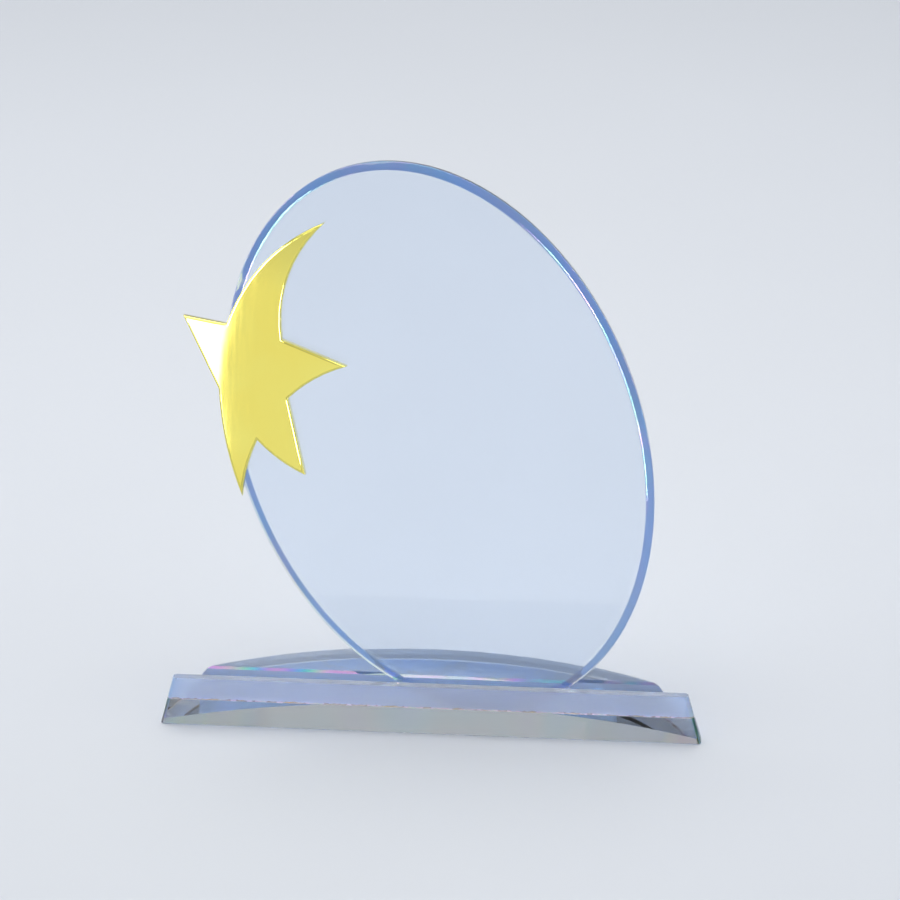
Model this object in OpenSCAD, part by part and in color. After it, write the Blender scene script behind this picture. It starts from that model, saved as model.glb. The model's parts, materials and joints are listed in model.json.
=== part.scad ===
// Standing star trophy: an oval crystal plate with a gold star, held upright
// in the slanted slot of a half-moon crystal base.
// The front is towards -Y and +X is to the viewer's right.
// The origin is the middle of the base's underside.

/* [Base] */
// Length of the top face between its two blunt ends
base_length = 222; // [180:1:280]
// Depth of the top face, from the straight side to the crown of the arc
base_depth = 40; // [32:1:60]
// Height of the base
base_height = 22; // [20:1:40]
// How much further out the curved side and the ends stand at the underside
base_flare = 6; // [2:0.5:10]
// Width of the blunt ends on the top face
base_tip_width = 3.2; // [2:0.1:8]
// Polished bevel along the edges of the base
base_bevel = 0.8; // [0.4:0.1:1.2]

/* [Slot] */
// Depth of the slot, measured along its slant
slot_depth = 12; // [8:0.5:14]
// Least thickness of crystal between the slot and the straight side
slot_wall = 2.6; // [2:0.1:5]
// Clearance between the plate and each wall of the slot
slot_clearance = 0.2; // [0.1:0.05:0.6]
// Clearance between the lowest point of the plate and the floor of the slot
floor_clearance = 0.2; // [0.1:0.05:0.6]

/* [Plate] */
// Length of the oval plate
plate_length = 244; // [180:1:300]
// Width of the oval plate
plate_width = 172; // [120:1:178]
// Thickness of the oval plate
plate_thickness = 7; // [5:0.5:10]
// Width of the bevel round the front face
plate_bevel_width = 3; // [1:0.25:5]
// Depth of the bevel round the front face
plate_bevel_depth = 1.4; // [0.5:0.1:2.5]
// Small bevel round the back face
plate_arris = 0.8; // [0.3:0.1:1.5]
// Turn of the oval's long axis, its top towards the left
plate_turn = 22.5; // [0:0.5:40]
// Lean of the plate and of the slot, away from the viewer
plate_lean = 12; // [4:1:16]
// How far the plate's centre stands to the right of the base's centre
plate_shift = 2; // [-20:1:20]

/* [Star] */
// Width of the star from its left point to its right point
star_width = 70; // [50:1:90]
// Thickness of the star
star_thickness = 5; // [3:0.5:8]
// Place of the star's left hollow round the rim, from the oval's upper end
star_place = 50; // [40:1:60]
// Thickness of the clear adhesive behind the star
bond_thickness = 0.3; // [0.1:0.05:0.5]

/* [Hidden] */

// Base: both depths, where its straight side stands, and the arc's circle
underside_depth = base_depth + base_flare;
straight_y = -underside_depth / 2;
arc_rise = base_depth - base_tip_width;
arc_radius = (pow(base_length / 2, 2) + pow(arc_rise, 2)) / (2 * arc_rise);
arc_centre_y = straight_y + base_depth - arc_radius;
arc_facets = 180;

// Slot: its width, and the middle of its floor
slot_width = plate_thickness + 2 * slot_clearance;
slot_floor_y = straight_y + slot_wall + cos(plate_lean) * slot_width / 2;
slot_floor_z = base_height - slot_depth * cos(plate_lean);

// Cutting solids run this far past what they cut
overrun = 10;

// Plate: its half axes, and the height of its centre above its lowest point
half_length = plate_length / 2;
half_width = plate_width / 2;
half_rise = sqrt(pow(half_length * cos(plate_turn), 2) + pow(half_width * sin(plate_turn), 2));
plate_centre_y = floor_clearance + half_rise;
rim_points = 120;

// Star: its outline is drawn at this width, from its left hollow as origin
drawn_star_width = 69.7;
star_scale = star_width / drawn_star_width;
curve_steps = 10;
// Each corner's x and y, and how far the edge that follows it bulges outwards
star_corners = [
    [41.3, 44.1, 6.7],      // tip of the long top point
    [0, 0, 0],              // left hollow
    [-18.5, 3.1, 0],        // left point
    [-3, -27.8, 2],         // left waist
    [7.3, -73.6, -1.2],     // left leg
    [13.5, -49.3, 1.2],     // between the legs
    [34.1, -63.7, 0],       // right leg
    [26.4, -31.1, -1.8],    // right waist
    [51.2, -16.7, 0],       // right point
    [23.6, -6.1, -6.8]      // right hollow
];

// Profile of a side that flares outwards towards the underside, with both its edges bevelled
function flared_side(top) = [
    [top + base_flare - base_bevel, 0],
    [top + base_flare * (1 - base_bevel / base_height), base_bevel],
    [top + base_flare * base_bevel / base_height, base_height - base_bevel],
    [top - base_bevel, base_height]
];

// Turn a point of the plate's own axes, length then width, onto its face
function turned(along, across) = [
    across * cos(plate_turn) - along * sin(plate_turn),
    across * sin(plate_turn) + along * cos(plate_turn)
];

// A point on the oval, set in from the rim, at an angle from its upper end
function oval_point(angle, inset) = turned(
    (half_length - inset) * cos(angle),
    -(half_width - inset) * sin(angle)
);

// One ring of the plate's solid, set in from the rim, at a height through its thickness
function oval_ring(inset, z) = [
    for (i = [0:rim_points - 1])
        let (p = oval_point(i * 360 / rim_points, inset)) [p.x, p.y, z]
];

// Points along one edge of the star, a shallow curve that bulges to the right of its travel
function curved_edge(from, to, bulge) =
    let (run = [to.x - from.x, to.y - from.y], outward = [run.y, -run.x] / norm(run))
    [
        for (i = [0:bulge == 0 ? 0 : curve_steps - 1])
            let (t = i / curve_steps)
            [from.x, from.y] + t * run + 4 * t * (1 - t) * bulge * outward
    ];

star_outline = [
    for (i = [0:len(star_corners) - 1])
        each curved_edge(star_corners[i], star_corners[(i + 1) % len(star_corners)], star_corners[i][2])
];

// Place what is drawn on the plate: x across it, y up along it from the slot's floor, z out of its front
module on_plate() {
    translate([0, slot_floor_y, slot_floor_z])
        rotate([90 - plate_lean, 0, 0])
            children();
}

// Place what is drawn from the centre of the plate's front face
module on_plate_front() {
    on_plate()
        translate([plate_shift, plate_centre_y, plate_thickness / 2])
            children();
}

module star_shape() {
    translate(oval_point(star_place, 0))
        scale([star_scale, star_scale])
            polygon(star_outline);
}

module base_block() {
    long = base_length + 2 * base_flare + 2 * overrun;
    deep = underside_depth + overrun;
    back_y = straight_y + deep;
    color("lightcyan", 0.6)
    difference() {
        intersection() {
            // Curved side
            translate([0, arc_centre_y, 0])
                rotate_extrude($fn = arc_facets)
                    polygon(concat([[0, 0]], flared_side(arc_radius), [[0, base_height]]));
            // Straight side
            rotate([90, 0, 90])
                linear_extrude(height = long, center = true)
                    polygon([
                        [straight_y + base_bevel, 0],
                        [back_y, 0],
                        [back_y, base_height],
                        [straight_y + base_bevel, base_height],
                        [straight_y, base_height - base_bevel],
                        [straight_y, base_bevel]
                    ]);
            // Blunt ends
            rotate([90, 0, 0])
                linear_extrude(height = 2 * deep, center = true)
                    polygon(concat(
                        flared_side(base_length / 2),
                        [for (i = [3:-1:0]) let (p = flared_side(base_length / 2)[i]) [-p.x, p.y]]
                    ));
        }
        // Slot
        on_plate()
            translate([-long / 2, 0, -slot_width / 2])
                cube([long, slot_depth + overrun, slot_width]);
    }
}

module oval_plate() {
    back = -plate_thickness;
    points = concat(
        oval_ring(plate_arris, back),
        oval_ring(0, back + plate_arris),
        oval_ring(0, -plate_bevel_depth),
        oval_ring(plate_bevel_width, 0)
    );
    rings = len(points) / rim_points;
    color("azure", 0.5)
    on_plate_front()
        polyhedron(
            points = points,
            faces = concat(
                [[for (i = [0:rim_points - 1]) rim_points - 1 - i]],
                [
                    for (r = [0:rings - 2], i = [0:rim_points - 1])
                        let (j = (i + 1) % rim_points, low = r * rim_points, high = low + rim_points)
                        [low + i, low + j, high + j, high + i]
                ],
                [[for (i = [0:rim_points - 1]) (rings - 1) * rim_points + i]]
            )
        );
}

module star_bond() {
    color("ghostwhite", 0.8)
    on_plate_front()
        linear_extrude(height = bond_thickness)
            intersection() {
                star_shape();
                polygon([for (p = oval_ring(plate_bevel_width, 0)) [p.x, p.y]]);
            }
}

module star_ornament() {
    color("gold")
    on_plate_front()
        translate([0, 0, bond_thickness])
            linear_extrude(height = star_thickness)
                star_shape();
}

base_block();
oval_plate();
star_bond();
star_ornament();
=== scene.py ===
"""Star trophy: clear oval plate with a gold star, standing in the slot of a half-moon crystal base."""

import json
import math
import random

import bmesh
import bpy
from bpy.props import FloatProperty, FloatVectorProperty, PointerProperty
from mathutils import Matrix, Vector


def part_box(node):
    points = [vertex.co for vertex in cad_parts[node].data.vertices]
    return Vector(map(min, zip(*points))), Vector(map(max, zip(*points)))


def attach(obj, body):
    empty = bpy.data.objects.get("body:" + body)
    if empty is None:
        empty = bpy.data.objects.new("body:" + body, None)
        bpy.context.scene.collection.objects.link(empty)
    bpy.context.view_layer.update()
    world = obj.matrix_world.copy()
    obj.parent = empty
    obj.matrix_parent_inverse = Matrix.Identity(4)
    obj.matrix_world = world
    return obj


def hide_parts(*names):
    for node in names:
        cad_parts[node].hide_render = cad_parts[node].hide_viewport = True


bl_info = {
    "name": "Star Trophy",
    "version": (1, 0, 0),
    "blender": (4, 5, 0),
    "location": "3D View > Sidebar > Trophy",
    "description": "Crystal plate with a gold star, in a half-moon crystal base",
    "category": "Add Mesh",
}

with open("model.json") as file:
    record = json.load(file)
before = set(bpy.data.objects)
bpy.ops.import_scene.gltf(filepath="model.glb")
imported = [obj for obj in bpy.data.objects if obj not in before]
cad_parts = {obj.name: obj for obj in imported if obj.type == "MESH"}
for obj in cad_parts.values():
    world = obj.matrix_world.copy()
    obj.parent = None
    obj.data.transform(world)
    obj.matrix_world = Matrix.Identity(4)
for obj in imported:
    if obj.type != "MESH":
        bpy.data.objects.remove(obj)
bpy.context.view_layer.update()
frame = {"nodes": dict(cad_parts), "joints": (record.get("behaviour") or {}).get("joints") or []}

MM = 0.001
RIGHT = Vector((1, 0, 0))
LIFT = Vector(frame["joints"][0]["axis"]).normalized()  # up along the leaning plate
OUT = RIGHT.cross(LIFT)  # out of the plate's front face
LEAN = math.atan2(LIFT.y, LIFT.z)
HAIR = 0.01 * MM  # smallest distance that is told apart


def reach(node, direction):
    """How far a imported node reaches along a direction: its lowest and its highest value."""
    places = [v.co.dot(direction) for v in frame["nodes"][node].data.vertices]
    return min(places), max(places)


def middle(span):
    return (span[0] + span[1]) / 2


def plate_front():
    """Axes of the plate's front face: x across it, y up along it and z out of it, from its centre."""
    centre = (
        RIGHT * middle(reach("oval_plate", RIGHT))
        + LIFT * middle(reach("oval_plate", LIFT))
        + OUT * reach("oval_plate", OUT)[1]
    )
    return Matrix.Translation(centre) @ Matrix((RIGHT, LIFT, OUT)).transposed().to_4x4()


# ---------------------------------------------------------------- sizes and colours


class TrophySizes(bpy.types.PropertyGroup):
    """Sizes of the trophy's pieces"""

    plate_length: FloatProperty(
        name="Plate length", description="Long axis of the oval", default=244 * MM, unit="LENGTH"
    )
    plate_width: FloatProperty(
        name="Plate width", description="Short axis of the oval", default=172 * MM, unit="LENGTH"
    )
    plate_turn: FloatProperty(
        name="Plate turn", description="Turn of the long axis to the left",
        default=math.radians(22.5), subtype="ANGLE",
    )
    plate_bevel_width: FloatProperty(
        name="Plate bevel width", description="Width of the front bevel", default=3 * MM, unit="LENGTH"
    )
    plate_bevel_depth: FloatProperty(
        name="Plate bevel depth", description="Depth of the front bevel", default=1.4 * MM, unit="LENGTH"
    )
    plate_arris: FloatProperty(
        name="Plate arris", description="Small bevel round the back", default=0.8 * MM, unit="LENGTH"
    )
    base_length: FloatProperty(
        name="Base length", description="Top face between its blunt ends", default=222 * MM, unit="LENGTH"
    )
    base_flare: FloatProperty(
        name="Base flare", description="Outward slope of the curved side", default=6 * MM, unit="LENGTH"
    )
    base_tip_width: FloatProperty(
        name="Base tip width", description="Width of the blunt ends", default=3.2 * MM, unit="LENGTH"
    )
    base_bevel: FloatProperty(
        name="Base bevel", description="Polished bevel on the edges", default=0.8 * MM, unit="LENGTH"
    )
    slot_depth: FloatProperty(
        name="Slot depth", description="Depth along its slant", default=12 * MM, unit="LENGTH"
    )
    slot_wall: FloatProperty(
        name="Slot wall", description="Least crystal in front of the slot", default=2.6 * MM, unit="LENGTH"
    )
    slot_clearance: FloatProperty(
        name="Slot clearance", description="Play on each side of the plate", default=0.2 * MM,
        unit="LENGTH",
    )
    star_rim: FloatProperty(
        name="Star rim radius", description="Rounding of the star's front rim", default=0.9 * MM,
        unit="LENGTH",
    )
    star_place: FloatProperty(
        name="Star place", description="Angle round the rim of the star's left hollow",
        default=math.radians(50), subtype="ANGLE",
    )


class TrophyColours(bpy.types.PropertyGroup):
    """Colours of the trophy's materials"""

    plate: FloatVectorProperty(
        name="Plate", description="Tint of the plate's clear crystal", default=(0.83, 0.895, 0.985),
        subtype="COLOR", min=0, max=1,
    )
    base: FloatVectorProperty(
        name="Base", description="Tint of the base's clear crystal", default=(0.95, 0.97, 0.99),
        subtype="COLOR", min=0, max=1,
    )
    gold: FloatVectorProperty(
        name="Gold", description="Colour of the star's plating", default=(0.90, 0.82, 0.20),
        subtype="COLOR", min=0, max=1,
    )
    floor: FloatVectorProperty(
        name="Floor", description="Colour of the studio floor", default=(0.66, 0.68, 0.71),
        subtype="COLOR", min=0, max=1,
    )


# ---------------------------------------------------------------- outlines

# The star's corners from its left hollow, in mm, and how far the edge that follows each bulges outwards
STAR_CORNERS = (
    (41.3, 44.1, 6.7),  # tip of the long top point
    (0, 0, 0),  # left hollow
    (-18.5, 3.1, 0),  # left point
    (-3, -27.8, 2),  # left waist
    (7.3, -73.6, -1.2),  # left leg
    (13.5, -49.3, 1.2),  # between the legs
    (34.1, -63.7, 0),  # right leg
    (26.4, -31.1, -1.8),  # right waist
    (51.2, -16.7, 0),  # right point
    (23.6, -6.1, -6.8),  # right hollow
)
STAR_SCALE = 70 / 69.7  # star width over the width between the corners above
CURVE_STEP = 5.2  # mm between points along a curved edge


def turned(along, across, turn):
    """Turns a point of the oval's own axes onto the plate's face."""
    return Vector((
        across * math.cos(turn) - along * math.sin(turn),
        across * math.sin(turn) + along * math.cos(turn),
        0,
    ))


def curved_edge(start, end, bulge):
    """Points from one corner of the star up to the next, bulging to the right of their travel."""
    run = end - start
    outward = Vector((run.y, -run.x)).normalized()
    steps = max(1, round(run.length / CURVE_STEP)) if bulge else 1
    return [
        start + run * (i / steps) + outward * 4 * bulge * (i / steps) * (1 - i / steps)
        for i in range(steps)
    ]


def star_outline(sizes):
    """The star's outline on the plate's front face."""
    anchor = turned(
        sizes.plate_length / 2 * math.cos(sizes.star_place),
        -sizes.plate_width / 2 * math.sin(sizes.star_place),
        sizes.plate_turn,
    )
    outline = []
    for i, (x, y, bulge) in enumerate(STAR_CORNERS):
        following = STAR_CORNERS[(i + 1) % len(STAR_CORNERS)]
        outline += curved_edge(Vector((x, y)), Vector(following[:2]), bulge)
    return [anchor + Vector((p.x, p.y, 0)) * STAR_SCALE * MM for p in outline]


# ---------------------------------------------------------------- mesh helpers


def drawn_face(bm, points):
    """One flat face through the points, in their order."""
    return bm.faces.new([bm.verts.new(p) for p in points])


def oval_face(bm, sizes, inset, segments):
    """A flat oval face on the plate's front, set in from the rim."""
    across = sizes.plate_width / 2 - inset
    along = sizes.plate_length / 2 - inset
    made = bmesh.ops.create_circle(
        bm, cap_ends=True, segments=segments, radius=1,
        matrix=Matrix.Rotation(sizes.plate_turn, 4, "Z") @ Matrix.Diagonal((across, along, 1, 1)),
    )
    return made["verts"][0].link_faces[0]


def pulled_out(bm, face, depth):
    """Extrudes a face straight along z, and returns the face at its far end."""
    made = bmesh.ops.extrude_face_region(bm, geom=[face])["geom"]
    verts = [v for v in made if isinstance(v, bmesh.types.BMVert)]
    bmesh.ops.translate(bm, verts=verts, vec=(0, 0, depth))
    return next(f for f in made if isinstance(f, bmesh.types.BMFace))


def stepped_in(bm, face, steps):
    """Insets a flat face step by step, each step (inwards, along its normal)."""
    for inwards, outwards in steps:
        bmesh.ops.inset_region(bm, faces=[face], thickness=inwards, use_even_offset=True)
        bmesh.ops.translate(bm, verts=face.verts, vec=face.normal * outwards)
    return face


def bevelled(bm, edges, width, segments):
    bmesh.ops.bevel(
        bm, geom=edges, offset=width, offset_type="OFFSET", segments=segments, profile=0.5,
        affect="EDGES", material=-1, clamp_overlap=True,
    )


def corner_edges(bm, angle):
    """Edges where the surface turns by more than an angle."""
    return [e for e in bm.edges if len(e.link_faces) == 2 and e.calc_face_angle(0) > angle]


CRISP_ANGLE = math.radians(38)
FLAT_ANGLE = math.radians(3)
UNEVEN_AREAS = 8  # a face this many times its neighbour's area stays flat beside it


def mark_corners(bm):
    """Keeps corners crisp, and flat faces flat beside the narrow bevels that border them."""
    for face in bm.faces:
        face.smooth = True
    for edge in bm.edges:
        if len(edge.link_faces) != 2:
            continue
        angle = edge.calc_face_angle(0)
        areas = sorted(f.calc_area() for f in edge.link_faces)
        uneven = areas[1] > UNEVEN_AREAS * areas[0]
        edge.smooth = not (angle > CRISP_ANGLE or (uneven and angle > FLAT_ANGLE))


def piece(name, bm, materials, body, slot, *nodes):
    """Makes an object of a finished bmesh, and has it ride on a body in place of its nodes."""
    bmesh.ops.recalc_face_normals(bm, faces=bm.faces)
    mark_corners(bm)
    mesh = bpy.data.meshes.new(name)
    bm.to_mesh(mesh)
    bm.free()
    for material in materials:
        mesh.materials.append(material)
    made = bpy.data.objects.new(name, mesh)
    bpy.context.scene.collection.objects.link(made)
    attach(made, body)
    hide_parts(*nodes)
    return made


def combined(bm, tool, operation):
    """Cuts or keeps a bmesh by another with a Boolean, and returns a new bmesh."""
    objects = []
    for label, source in (("work", bm), ("tool", tool)):
        bmesh.ops.recalc_face_normals(source, faces=source.faces)
        mesh = bpy.data.meshes.new(label)
        source.to_mesh(mesh)
        source.free()
        made = bpy.data.objects.new(label, mesh)
        bpy.context.scene.collection.objects.link(made)
        objects.append(made)
    work, cutter = objects
    boolean = work.modifiers.new("cut", "BOOLEAN")
    boolean.operation = operation
    boolean.solver = "EXACT"
    boolean.object = cutter
    bpy.context.view_layer.update()
    result = bmesh.new()
    evaluated = work.evaluated_get(bpy.context.evaluated_depsgraph_get())
    result.from_mesh(evaluated.to_mesh())
    evaluated.to_mesh_clear()
    for made in objects:
        mesh = made.data
        bpy.data.objects.remove(made)
        bpy.data.meshes.remove(mesh)
    return result


# ---------------------------------------------------------------- materials


def fill_ramp(node, stops):
    """Gives a colour ramp its (position, colour) stops."""
    elements = node.color_ramp.elements
    while len(elements) < len(stops):
        elements.new(0.5)
    for element, (position, colour) in zip(elements, stops):
        element.position = position
        element.color = (*colour, 1)


class Nodes:
    """Adds nodes to a material's tree and joins them."""

    def __init__(self, name):
        self.material = bpy.data.materials.new(name)
        self.material.use_nodes = True
        self.tree = self.material.node_tree
        self.shader = self.tree.nodes["Principled BSDF"]
        self.place = self.add("ShaderNodeTexCoord").outputs["Object"]

    def add(self, kind, **settings):
        node = self.tree.nodes.new(kind)
        for key, value in settings.items():
            setattr(node, key, value)
        return node

    def join(self, source, target):
        self.tree.links.new(source, target)

    def stretched(self, scale, turn=(0, 0, 0)):
        """Object coordinates, scaled and turned."""
        mapping = self.add("ShaderNodeMapping")
        mapping.inputs["Scale"].default_value = scale
        mapping.inputs["Rotation"].default_value = turn
        self.join(self.place, mapping.inputs["Vector"])
        return mapping.outputs["Vector"]

    def noise(self, scale, detail=2, roughness=0.5, vector=None, distortion=0):
        node = self.add("ShaderNodeTexNoise")
        node.inputs["Scale"].default_value = scale
        node.inputs["Detail"].default_value = detail
        node.inputs["Roughness"].default_value = roughness
        node.inputs["Distortion"].default_value = distortion
        self.join(vector or self.place, node.inputs["Vector"])
        return node.outputs["Fac"]

    def ranged(self, value, low, high, to_low, to_high):
        """Maps a stretch of values onto another, held at both ends."""
        node = self.add("ShaderNodeMapRange")
        node.inputs["From Min"].default_value = low
        node.inputs["From Max"].default_value = high
        node.inputs["To Min"].default_value = to_low
        node.inputs["To Max"].default_value = to_high
        self.join(value, node.inputs["Value"])
        return node.outputs["Result"]

    def ramp(self, value, stops):
        """A colour ramp through (position, colour) stops."""
        node = self.add("ShaderNodeValToRGB")
        fill_ramp(node, stops)
        self.join(value, node.inputs["Fac"])
        return node.outputs["Color"]

    def bump(self, height, strength, distance, under=None):
        node = self.add("ShaderNodeBump")
        node.inputs["Strength"].default_value = strength
        node.inputs["Distance"].default_value = distance
        self.join(height, node.inputs["Height"])
        if under:
            self.join(under, node.inputs["Normal"])
        return node.outputs["Normal"]

    def set(self, **values):
        for key, value in values.items():
            self.shader.inputs[key.replace("_", " ")].default_value = value

    def drive(self, name, source):
        self.join(source, self.shader.inputs[name])


def crystal_nodes(name, tint):
    """Clear polished crystal, before its surface detail."""
    nodes = Nodes(name)
    nodes.set(Transmission_Weight=1.0, IOR=1.52)
    tint = Vector(tint)
    faint = nodes.noise(14, detail=1)
    nodes.drive("Base Color", nodes.ramp(faint, [(0.3, tint * 0.985), (0.7, tint)]))
    depth = nodes.add("ShaderNodeVolumeAbsorption")  # long ways through the glass look bluer
    depth.inputs["Color"].default_value = (0.40, 0.68, 0.94, 1)
    depth.inputs["Density"].default_value = 2
    output = nodes.tree.nodes["Material Output"]
    nodes.join(depth.outputs["Volume"], output.inputs["Volume"])
    return nodes


def polished_crystal(name, tint):
    """Polished faces: handling marks that dull them a little, and a slight waviness."""
    nodes = crystal_nodes(name, tint)
    smudges = nodes.noise(38, detail=4, roughness=0.6, distortion=1.2)
    nodes.drive("Roughness", nodes.ranged(smudges, 0.52, 0.74, 0.0, 0.03))
    wave = nodes.noise(9, detail=0)
    nodes.drive("Normal", nodes.bump(wave, 0.05, 2 * MM))
    return nodes.material


def bevel_crystal_painted_rainbow(name, tint, film_ior, waviness):
    """Polished edges, with painted rainbow tints in their colour in place of the light that the edges
    split, and a thin film.
    """
    nodes = crystal_nodes(name, tint)
    # painted rainbow: pastel tints laid into the colour by noise, standing in for split light
    painted_rainbow_pattern = nodes.noise(26, detail=1, vector=nodes.stretched((1.0, 1.6, 0.6)))
    colours = [
        (0.28, (0.93, 0.92, 0.99)),
        (0.40, (0.84, 0.95, 0.99)),
        (0.50, (0.85, 0.98, 0.91)),
        (0.60, (0.98, 0.97, 0.84)),
        (0.72, (0.99, 0.90, 0.93)),
    ]
    nodes.drive("Base Color", nodes.ramp(painted_rainbow_pattern, colours))
    polish = nodes.noise(240, detail=3)
    nodes.drive("Roughness", nodes.ranged(polish, 0.3, 0.7, 0.0, 0.05))
    nodes.set(Thin_Film_IOR=film_ior)
    film = nodes.noise(22, detail=1, vector=nodes.stretched((1.0, 1.3, 0.8), (0, 0, 0.4)))
    nodes.drive("Thin Film Thickness", nodes.ranged(film, 0.3, 0.7, 280, 620))
    wave = nodes.noise(45, detail=2, vector=nodes.stretched((1.0, 1.0, 0.35)))
    nodes.drive("Normal", nodes.bump(wave, waviness, 1 * MM))
    return nodes.material


def chips_with_painted_glints(tint):
    """Tiny chips along the slot's floor, painted warm orange, pink and cream as glints of light, and
    partly matt so that they show.
    """
    nodes = crystal_nodes("slot_chips_painted_glints", tint)
    nodes.set(Transmission_Weight=0.35)
    # painted glints: warm colours laid on the chips by noise, in place of light that they catch
    painted_glint_pattern = nodes.noise(180, detail=2, vector=nodes.stretched((1.0, 0.4, 0.4)))
    colours = [
        (0.30, (0.98, 0.62, 0.30)),
        (0.45, (1.00, 0.80, 0.62)),
        (0.55, (0.98, 0.72, 0.76)),
        (0.70, (1.00, 0.93, 0.72)),
    ]
    nodes.drive("Base Color", nodes.ramp(painted_glint_pattern, colours))
    nodes.drive("Roughness", nodes.ranged(painted_glint_pattern, 0.3, 0.7, 0.15, 0.35))
    nodes.set(Thin_Film_IOR=1.9)
    nodes.drive("Thin Film Thickness", nodes.ranged(painted_glint_pattern, 0.3, 0.7, 240, 340))
    return nodes.material


def ground_crystal(name, tint):
    """Slot walls left as the wheel ground them: frosted, with fine lines along the slot."""
    nodes = crystal_nodes(name, tint)
    nodes.set(Transmission_Weight=0.8)
    lines = nodes.noise(900, detail=3, vector=nodes.stretched((0.02, 1, 1)))
    nodes.drive("Roughness", nodes.ranged(lines, 0.3, 0.7, 0.34, 0.58))
    grain = nodes.noise(2600, detail=2)
    ground = nodes.bump(grain, 0.12, 0.05 * MM)
    nodes.drive("Normal", nodes.bump(lines, 0.3, 0.05 * MM, under=ground))
    return nodes.material


def mirror_gold(colour):
    """Mirror-polished pale gold plating, with the faint waves and hairlines that polishing leaves."""
    nodes = Nodes("mirror_gold")
    colour = Vector(colour)
    nodes.set(Metallic=1.0)
    shade = nodes.noise(30, detail=3)
    warm = Vector((colour.x, colour.y * 0.96, colour.z * 0.85))
    nodes.drive("Base Color", nodes.ramp(shade, [(0.35, warm), (0.65, colour)]))
    hairlines = nodes.noise(700, detail=4, vector=nodes.stretched((1, 0.06, 0.06), (0, 0.5, 0)))
    nodes.drive("Roughness", nodes.ranged(hairlines, 0.35, 0.75, 0.03, 0.055))
    wave = nodes.noise(17, detail=1)
    waved = nodes.bump(wave, 0.22, 1.6 * MM)
    nodes.drive("Normal", nodes.bump(hairlines, 0.03, 0.02 * MM, under=waved))
    return nodes.material


def cured_adhesive():
    """Thin clear adhesive: faintly cloudy, with small bubbles."""
    nodes = Nodes("cured_adhesive")
    nodes.set(Transmission_Weight=1.0, IOR=1.48)
    cloud = nodes.noise(120, detail=3)
    nodes.drive("Base Color", nodes.ramp(cloud, [(0.3, (0.93, 0.91, 0.80)), (0.7, (0.98, 0.97, 0.92))]))
    bubbles = nodes.add("ShaderNodeTexVoronoi", feature="F1")
    bubbles.inputs["Scale"].default_value = 420
    nodes.join(nodes.place, bubbles.inputs["Vector"])
    round_bubbles = nodes.ranged(bubbles.outputs["Distance"], 0.12, 0.2, 0.0, 1.0)
    nodes.drive("Roughness", nodes.ranged(cloud, 0.3, 0.7, 0.08, 0.2))
    nodes.drive("Normal", nodes.bump(round_bubbles, 0.2, 0.03 * MM))
    return nodes.material


def studio_floor(colour):
    nodes = Nodes("studio_floor")
    colour = Vector(colour)
    cast = nodes.noise(3, detail=2)
    nodes.drive("Base Color", nodes.ramp(cast, [(0.3, colour * 0.985), (0.7, colour)]))
    nodes.set(Roughness=0.9, Specular_IOR_Level=0.0)
    return nodes.material


# ---------------------------------------------------------------- pieces

OVAL_SEGMENTS = 256
FULL_CIRCLE_SEGMENTS = 720
SLOT_STEPS = 230  # facets along the slot's ground floor edges
CHIP = 0.45 * MM  # how far the chips eat into the slot's floor edges
TIP_ROUNDING = 1.4 * MM
MOUTH_BEVEL = 0.9 * MM
GLINT_BEVEL = 0.55 * MM
OVERSHOOT = 3  # mouth bevels that the slot's cutter reaches past the top
END_SPACE = 6 * MM  # how far the slot's cutter reaches past the base's ends
BEVEL_SEGMENTS = 3
TIP_SEGMENTS = 4

# Turns of the surface from which an edge of the plate, of the base's tips and of its rims is a corner
PLATE_CORNER = math.radians(15)
TIP_CORNER = math.radians(25)
RIM_CORNER = math.radians(50)


class TROPHY_OT_plate(bpy.types.Operator):
    """Makes the clear oval plate, bevelled round both faces"""

    bl_idname = "trophy.plate"
    bl_label = "Oval Plate"

    def execute(self, context):
        sizes = context.scene.trophy_sizes
        tint = context.scene.trophy_colours.plate
        low, high = reach("oval_plate", OUT)
        bm = bmesh.new()
        front = oval_face(bm, sizes, 0, OVAL_SEGMENTS)
        bmesh.ops.translate(bm, verts=front.verts, vec=(0, 0, -sizes.plate_bevel_depth))
        back = pulled_out(bm, front, sizes.plate_bevel_depth - (high - low) + sizes.plate_arris)
        bmesh.ops.recalc_face_normals(bm, faces=bm.faces)
        caps = [f for f in bm.faces if len(f.verts) > 4]
        caps.sort(key=lambda f: f.calc_center_median().z)
        stepped_in(bm, caps[0], [(sizes.plate_arris, sizes.plate_arris)])
        stepped_in(bm, caps[-1], [(sizes.plate_bevel_width, sizes.plate_bevel_depth)])
        bevelled(bm, corner_edges(bm, PLATE_CORNER), GLINT_BEVEL, BEVEL_SEGMENTS)
        for face in bm.faces:
            face.material_index = 0 if len(face.verts) > 4 else 1
        bm.transform(plate_front())
        materials = [
            polished_crystal("plate_crystal", tint),
            bevel_crystal_painted_rainbow("plate_bevel", tint, film_ior=1.63, waviness=0.03),
        ]
        piece("Oval_Plate", bm, materials, "plate", "plate_crystal", "oval_plate")
        return {"FINISHED"}


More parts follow.
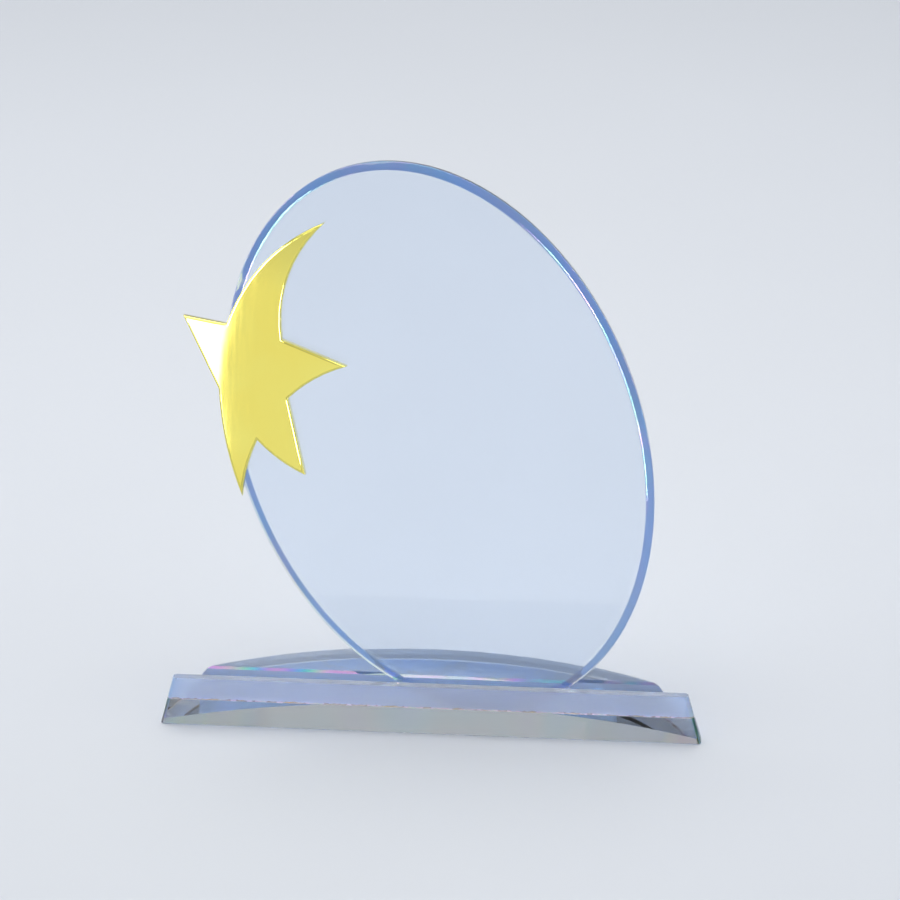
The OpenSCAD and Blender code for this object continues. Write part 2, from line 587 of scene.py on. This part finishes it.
class TROPHY_OT_base(bpy.types.Operator):
    """Makes the half-moon base with its flared curved side and slanted slot"""

    bl_idname = "trophy.base"
    bl_label = "Crystal Base"

    POLISHED, BEVEL, GROUND, CHIPS, CURVE = range(5)  # material slots, in the order that execute fills
    SQUARE = 0.999  # share of a normal along an axis that makes a face square to it
    NEARLY_SQUARE = 0.98  # the same for the ground faces
    END_FACING = 0.9  # share of a normal along x on the slot's ends
    BACKWARD = 0.3  # least share of a normal along y on the curved side
    CURVE_BAND = 3 * MM  # farthest from mid height that the middle of a curved side's face lies

    def slot_floor(self, sizes, low, high):
        """The middle of the slot's floor line, and the slot's width."""
        thickness = reach("oval_plate", OUT)[1] - reach("oval_plate", OUT)[0]
        width = thickness + 2 * sizes.slot_clearance
        floor_y = low.y + sizes.slot_wall + math.cos(LEAN) * width / 2
        return Vector((0, floor_y, high.z - sizes.slot_depth * math.cos(LEAN))), width

    def slot_cutter(self, sizes, floor_mid, width, height):
        """The slot's solid: slanted walls, a mouth bevel and a chipped corner beside its floor."""

        def wall_point(side, z):
            """A point of the slot's front (1) or back (-1) wall, at a height."""
            foot = floor_mid + OUT * side * width / 2
            return foot + LIFT * (z - foot.z) / LIFT.z

        profile = []
        for side in (1, -1):
            floor_edge = floor_mid + OUT * side * (width / 2 - CHIP)
            wall_foot = floor_mid + OUT * side * width / 2 + LIFT * CHIP
            bevel_foot = wall_point(side, height - MOUTH_BEVEL)
            bevel_top = wall_point(side, height) + Vector((0, -side * MOUTH_BEVEL, 0))
            over = bevel_top + Vector((0, -side * MOUTH_BEVEL, MOUTH_BEVEL)) * OVERSHOOT
            run = [floor_edge, wall_foot, bevel_foot, bevel_top, over]
            profile += run if side == 1 else run[::-1]
        half_run = sizes.base_length / 2 + sizes.base_flare + END_SPACE
        bm = bmesh.new()
        face = drawn_face(bm, [p - RIGHT * half_run for p in profile])
        made = bmesh.ops.extrude_face_region(bm, geom=[face])["geom"]
        bmesh.ops.translate(
            bm, verts=[v for v in made if isinstance(v, bmesh.types.BMVert)], vec=RIGHT * 2 * half_run
        )
        along = [e for e in bm.edges if abs(e.verts[0].co.x - e.verts[1].co.x) > half_run]
        bmesh.ops.subdivide_edges(bm, edges=along, cuts=SLOT_STEPS, use_grid_fill=True)
        chips = random.Random(11)
        for vert in sorted(bm.verts, key=lambda v: (round(v.co.x, 6), v.co.y)):
            away = vert.co - floor_mid
            across, above = away.dot(OUT), away.dot(LIFT)
            if above < 2 * CHIP:
                inwards = -1 if across > 0 else 1
                if above < CHIP / 2:
                    vert.co += OUT * inwards * chips.uniform(0, CHIP)
                else:
                    vert.co += LIFT * chips.uniform(0, CHIP)
        return bm

    def execute(self, context):
        sizes = context.scene.trophy_sizes
        tint = context.scene.trophy_colours.base
        low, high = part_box("base_block")
        height = high.z - low.z
        depth = high.y - low.y - sizes.base_flare
        straight_y = low.y
        floor_mid, width = self.slot_floor(sizes, low, high)
        half = sizes.base_length / 2
        rise = depth - sizes.base_tip_width
        radius = (half ** 2 + rise ** 2) / (2 * rise)
        bm = bmesh.new()
        bmesh.ops.create_cone(
            bm, cap_ends=True, cap_tris=False, segments=FULL_CIRCLE_SEGMENTS,
            radius1=radius + sizes.base_flare, radius2=radius, depth=height,
            matrix=Matrix.Translation((0, straight_y + depth - radius, low.z + height / 2)),
        )
        cuts = [((0, straight_y, 0), (0, -1, 0))]
        for side in (1, -1):
            cuts.append(((side * half, 0, high.z), (side * height, 0, sizes.base_flare)))
        for place, normal in cuts:
            bmesh.ops.bisect_plane(
                bm, geom=bm.verts[:] + bm.edges[:] + bm.faces[:], plane_co=place,
                plane_no=normal, clear_outer=True,
            )
            rims = [e for e in bm.edges if e.is_boundary]
            bmesh.ops.holes_fill(bm, edges=rims)
        upright = [e for e in corner_edges(bm, TIP_CORNER) if self.rise_of(e) > 0.9 * height]
        bevelled(bm, upright, TIP_ROUNDING, TIP_SEGMENTS)
        around = [e for e in corner_edges(bm, RIM_CORNER) if self.rise_of(e) < 0.1 * height]
        bevelled(bm, around, sizes.base_bevel, BEVEL_SEGMENTS)
        bm = combined(bm, self.slot_cutter(sizes, floor_mid, width, high.z), "DIFFERENCE")
        bmesh.ops.recalc_face_normals(bm, faces=bm.faces)
        for face in bm.faces:
            face.material_index = self.finish_of(face, low, high, floor_mid, width)
        materials = [
            polished_crystal("base_crystal", tint),
            bevel_crystal_painted_rainbow("base_bevel", tint, film_ior=1.8, waviness=0.03),
            ground_crystal("slot_ground", tint),
            chips_with_painted_glints(tint),
            bevel_crystal_painted_rainbow("base_curve", tint, film_ior=1.66, waviness=0.25),
        ]
        piece("Crystal_Base", bm, materials, "base", "base_crystal", "base_block")
        return {"FINISHED"}

    def rise_of(self, edge):
        return abs(edge.verts[0].co.z - edge.verts[1].co.z)

    def finish_of(self, face, low, high, floor_mid, width):
        """Material of a face: POLISHED, BEVEL, GROUND, CHIPS or CURVE."""
        normal = face.normal
        centre = face.calc_center_median()
        level = min(abs(centre.z - high.z), abs(centre.z - low.z)) < 10 * HAIR
        straight = normal.y < -self.SQUARE and abs(centre.y - low.y) < 10 * HAIR
        if straight or (level and abs(normal.z) > self.SQUARE):
            return self.POLISHED
        away = centre - floor_mid
        in_slot = abs(away.dot(OUT)) < width / 2 + HAIR and centre.z < high.z - MOUTH_BEVEL
        if not in_slot or away.dot(LIFT) < -HAIR or abs(normal.x) > self.END_FACING:
            mid_height = abs(centre.z - (low.z + high.z) / 2) < self.CURVE_BAND
            return self.CURVE if normal.y > self.BACKWARD and mid_height else self.BEVEL
        square = max(abs(normal.dot(OUT)), abs(normal.dot(LIFT)))
        return self.GROUND if square > self.NEARLY_SQUARE else self.CHIPS


class TROPHY_OT_star(bpy.types.Operator):
    """Makes the thick gold star with its rounded front rim"""

    bl_idname = "trophy.star"
    bl_label = "Star Ornament"

    RIM_STEPS = 6
    GRID = 3 * MM
    CROWN_RADIUS = 2.0
    CROWN_PLACE = (0.5, 0.3)  # crest of the front, as shares of its width and height
    FLAT_EDGE = 0.1 * MM  # last step of the rim, before the crowned front

    def crown(self, bm, top, thickness):
        """Cuts the front into a grid and lets it fall away from its crest as a shallow sphere."""
        lows = [min(v.co[axis] for v in top.verts) for axis in (0, 1)]
        highs = [max(v.co[axis] for v in top.verts) for axis in (0, 1)]
        crest_x, crest_y = [
            a + (b - a) * share for a, b, share in zip(lows, highs, self.CROWN_PLACE)
        ]
        for axis in (0, 1):
            normal = [1 - axis, axis, 0]
            for i in range(1, math.ceil((highs[axis] - lows[axis]) / self.GRID)):
                place = [0, 0, 0]
                place[axis] = lows[axis] + i * self.GRID
                faces = [f for f in bm.faces if f.calc_center_median().z > thickness - HAIR]
                edges = list({e for f in faces for e in f.edges})
                verts = list({v for f in faces for v in f.verts})
                bmesh.ops.bisect_plane(
                    bm, geom=faces + edges + verts, plane_co=place, plane_no=normal
                )
        for vert in bm.verts:
            if vert.co.z > thickness / 2:
                away = (vert.co.x - crest_x) ** 2 + (vert.co.y - crest_y) ** 2
                vert.co.z -= away / (2 * self.CROWN_RADIUS)

    def execute(self, context):
        sizes = context.scene.trophy_sizes
        front = reach("oval_plate", OUT)[1]
        low, high = reach("star_ornament", OUT)
        thickness = high - low
        bm = bmesh.new()
        face = drawn_face(bm, star_outline(sizes))
        top = pulled_out(bm, face, thickness - sizes.star_rim)
        bmesh.ops.recalc_face_normals(bm, faces=bm.faces)
        turns = [math.radians(90) * i / self.RIM_STEPS for i in range(self.RIM_STEPS + 1)]
        steps = [
            (sizes.star_rim * (math.cos(a) - math.cos(b)), sizes.star_rim * (math.sin(b) - math.sin(a)))
            for a, b in zip(turns, turns[1:])
        ]
        stepped_in(bm, top, steps + [(self.FLAT_EDGE, 0)])
        self.crown(bm, top, thickness)
        bmesh.ops.translate(bm, verts=bm.verts, vec=(0, 0, low - front))
        bm.transform(plate_front())
        gold = mirror_gold(context.scene.trophy_colours.gold)
        piece("Star_Ornament", bm, [gold], "plate", "gold", "star_ornament")
        return {"FINISHED"}


class TROPHY_OT_bond(bpy.types.Operator):
    """Makes the thin clear adhesive between the star and the plate"""

    bl_idname = "trophy.bond"
    bl_label = "Star Bond"

    GAP = 0.02 * MM
    MARGIN = 0.5 * MM
    OVAL_STEPS = 128

    def execute(self, context):
        sizes = context.scene.trophy_sizes
        low, high = reach("star_bond", OUT)
        thickness = high - low - 2 * self.GAP
        star = bmesh.new()
        face = drawn_face(star, star_outline(sizes))
        stepped_in(star, face, [(self.MARGIN, 0)])
        ring = [f for f in star.faces if f is not face]
        bmesh.ops.delete(star, geom=ring, context="FACES")
        pulled_out(star, star.faces[:][0], thickness)
        oval = bmesh.new()
        face = oval_face(oval, sizes, sizes.plate_bevel_width + self.MARGIN, self.OVAL_STEPS)
        pulled_out(oval, face, 4 * thickness)
        bmesh.ops.translate(oval, verts=oval.verts, vec=(0, 0, -2 * thickness))
        bm = combined(star, oval, "INTERSECT")
        bmesh.ops.translate(bm, verts=bm.verts, vec=(0, 0, self.GAP))
        bm.transform(plate_front())
        piece("Star_Bond", bm, [cured_adhesive()], "plate", "clear_adhesive", "star_bond")
        return {"FINISHED"}


class TROPHY_OT_stage(bpy.types.Operator):
    """Sets the pale floor, the soft studio lights and the camera"""

    bl_idname = "trophy.stage"
    bl_label = "Stage"

    AIM = Vector((0.006, 0.012, 0.118))  # where the camera looks
    FLOOR_DROP = -0.3 * MM  # keeps the floor clear of the base's underside
    FLOOR_RADIUS = 6
    SKY = [  # colour by height, from the horizon and below (0) to straight up (1)
        (0.0, (0.88, 0.89, 0.90)),
        (0.12, (0.88, 0.89, 0.90)),
        (0.26, (0.40, 0.42, 0.46)),
        (0.50, (0.50, 0.52, 0.56)),
        (1.0, (0.82, 0.84, 0.87)),
    ]
    CENTRE = (0, 0, AIM.z)
    OVERHEAD_BOX = ("overhead_box", (-0.2, 0.3, 1.7), CENTRE, 1.6, 1.6, 19)
    GLINT_BOXES = [  # name, place, target, width, height and power in watts
        ("star_box", (-0.583, -1.55, 0.48), (-0.08, 0, 0.18), 0.5, 0.7, 6),
        ("front_left_box", (-0.95, -1.5, 0.62), CENTRE, 0.4, 1.0, 30),
        ("front_right_box", (0.74, -1.55, 0.62), CENTRE, 0.4, 1.0, 30),
        ("left_strip", (-1.3, 0.35, 0.62), CENTRE, 0.16, 1.1, 8),
        ("right_strip", (1.3, 0.2, 0.62), CENTRE, 0.16, 1.1, 8),
    ]
    CAMERA_ELEVATION = math.radians(22)
    CAMERA_AZIMUTH = math.radians(5)
    CAMERA_DISTANCE = 1.5
    VIEW_WIDTH = 0.385  # width that the camera takes in at its aim

    def soft_box(self, name, place, target, width, height, power):
        light = bpy.data.lights.new(name, "AREA")
        light.shape = "RECTANGLE"
        light.size = width
        light.size_y = height
        light.energy = power
        made = bpy.data.objects.new(name, light)
        made.location = place
        aim = Vector(target) - Vector(place)
        made.rotation_euler = aim.to_track_quat("-Z", "Y").to_euler()
        bpy.context.scene.collection.objects.link(made)
        return made

    def glint_box(self, *details):
        """A soft box for highlights: it lights no matt surface and isn't seen through the crystal."""
        made = self.soft_box(*details)
        made.visible_transmission = False
        made.visible_diffuse = False

    def studio_air(self):
        """Soft light from all round, dimmer between horizon and zenith so that crystal edges show."""
        world = bpy.data.worlds.new("studio_air")
        bpy.context.scene.world = world
        world.use_nodes = True
        tree = world.node_tree
        place = tree.nodes.new("ShaderNodeTexCoord")
        split = tree.nodes.new("ShaderNodeSeparateXYZ")
        ramp = tree.nodes.new("ShaderNodeValToRGB")
        tree.links.new(place.outputs["Generated"], split.inputs["Vector"])
        tree.links.new(split.outputs["Z"], ramp.inputs["Fac"])
        tree.links.new(ramp.outputs["Color"], tree.nodes["Background"].inputs["Color"])
        fill_ramp(ramp, self.SKY)

    def execute(self, context):
        scene = context.scene
        bm = bmesh.new()
        bmesh.ops.create_circle(bm, cap_ends=True, segments=96, radius=self.FLOOR_RADIUS)
        mesh = bpy.data.meshes.new("studio_floor")
        bm.to_mesh(mesh)
        bm.free()
        mesh.materials.append(studio_floor(scene.trophy_colours.floor))
        mesh.transform(Matrix.Translation((0, 0, self.FLOOR_DROP)))
        floor = bpy.data.objects.new("studio_floor", mesh)
        scene.collection.objects.link(floor)
        self.studio_air()
        self.soft_box(*self.OVERHEAD_BOX)
        for details in self.GLINT_BOXES:
            self.glint_box(*details)
        scene.view_settings.view_transform = "Standard"
        camera = bpy.data.cameras.new("camera")
        camera.sensor_width = 36
        camera.lens = camera.sensor_width * self.CAMERA_DISTANCE / self.VIEW_WIDTH
        eye = bpy.data.objects.new("camera", camera)
        flat = math.cos(self.CAMERA_ELEVATION) * self.CAMERA_DISTANCE
        eye.location = self.AIM + Vector((
            flat * math.sin(self.CAMERA_AZIMUTH),
            -flat * math.cos(self.CAMERA_AZIMUTH),
            math.sin(self.CAMERA_ELEVATION) * self.CAMERA_DISTANCE,
        ))
        eye.rotation_euler = (self.AIM - eye.location).to_track_quat("-Z", "Y").to_euler()
        scene.collection.objects.link(eye)
        scene.camera = eye
        return {"FINISHED"}


class TROPHY_PT_panel(bpy.types.Panel):
    """Lists the trophy's sizes, colours and pieces"""

    bl_idname = "TROPHY_PT_panel"
    bl_label = "Star Trophy"
    bl_space_type = "VIEW_3D"
    bl_region_type = "UI"
    bl_category = "Trophy"

    def draw(self, context):
        layout = self.layout
        for group in (context.scene.trophy_sizes, context.scene.trophy_colours):
            box = layout.box()
            for name in group.__annotations__:
                box.prop(group, name)
        for operator in OPERATORS:
            layout.operator(operator.bl_idname)


OPERATORS = (TROPHY_OT_stage, TROPHY_OT_base, TROPHY_OT_plate, TROPHY_OT_bond, TROPHY_OT_star)
CLASSES = (TrophySizes, TrophyColours, *OPERATORS, TROPHY_PT_panel)


def register():
    for cls in CLASSES:
        bpy.utils.register_class(cls)
    bpy.types.Scene.trophy_sizes = PointerProperty(type=TrophySizes)
    bpy.types.Scene.trophy_colours = PointerProperty(type=TrophyColours)


def unregister():
    del bpy.types.Scene.trophy_colours
    del bpy.types.Scene.trophy_sizes
    for cls in reversed(CLASSES):
        bpy.utils.unregister_class(cls)


def main():
    register()
    bpy.ops.trophy.stage()
    bpy.ops.trophy.base()
    bpy.ops.trophy.plate()
    bpy.ops.trophy.bond()
    bpy.ops.trophy.star()


if __name__ == "__main__":
    main()
